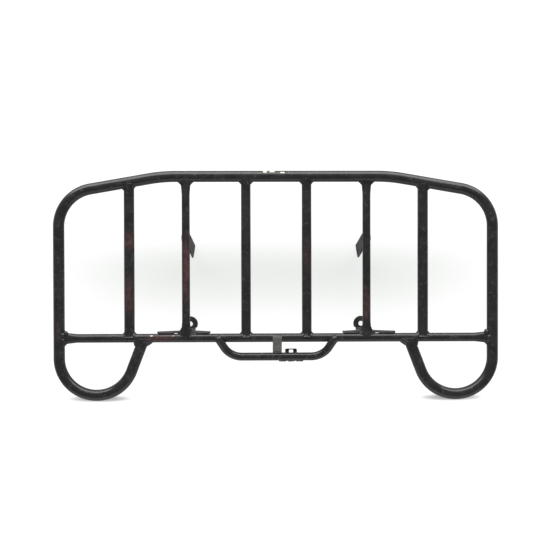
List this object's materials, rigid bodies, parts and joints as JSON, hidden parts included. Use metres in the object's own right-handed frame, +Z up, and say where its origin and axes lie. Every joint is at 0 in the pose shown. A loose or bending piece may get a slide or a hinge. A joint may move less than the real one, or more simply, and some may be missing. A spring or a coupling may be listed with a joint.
{
  "type": "all-terrain vehicle front rack",
  "caption": "Welded steel tube front rack with lengthwise slats, rear loops, a centre hoop and folded plate feet for bolting to the vehicle.",
  "frame": {"origin": "under the middle of the rack, at the height of its four feet", "axes": "+X to the right, +Y towards the bowed front edge, +Z up, with the slats level as on the vehicle"},
  "size_m": [0.8792, 0.4535, 0.1114],
  "materials": {
    "painted_tube": "worn semi-gloss black paint on steel tube",
    "painted_plate": "worn black paint on folded steel plate",
    "painted_weld": "black paint over weld beads"
  },
  "bodies": {
    "root": {"perimeter_tube": "painted_tube", "cross_tube": "painted_tube", "slat_left_outer": "painted_tube", "slat_left_bracketed": "painted_tube", "slat_left_inner": "painted_tube", "slat_right_inner": "painted_tube", "slat_right_bracketed": "painted_tube", "slat_right_outer": "painted_tube", "centre_hoop": "painted_tube", "centre_strap": "painted_plate", "hoop_tab": "painted_plate", "lug_bracket_left": "painted_plate", "lug_bracket_right": "painted_plate", "stay_left": "painted_plate", "stay_right": "painted_plate", "slat_front_welds": "painted_weld", "slat_rear_welds": "painted_weld", "cross_tube_welds": "painted_weld", "loop_arm_welds": "painted_weld", "hoop_welds": "painted_weld", "strap_welds": "painted_weld", "tab_welds": "painted_weld", "lug_bracket_welds": "painted_weld", "stay_welds": "painted_weld"}
  },
  "joints": []
}
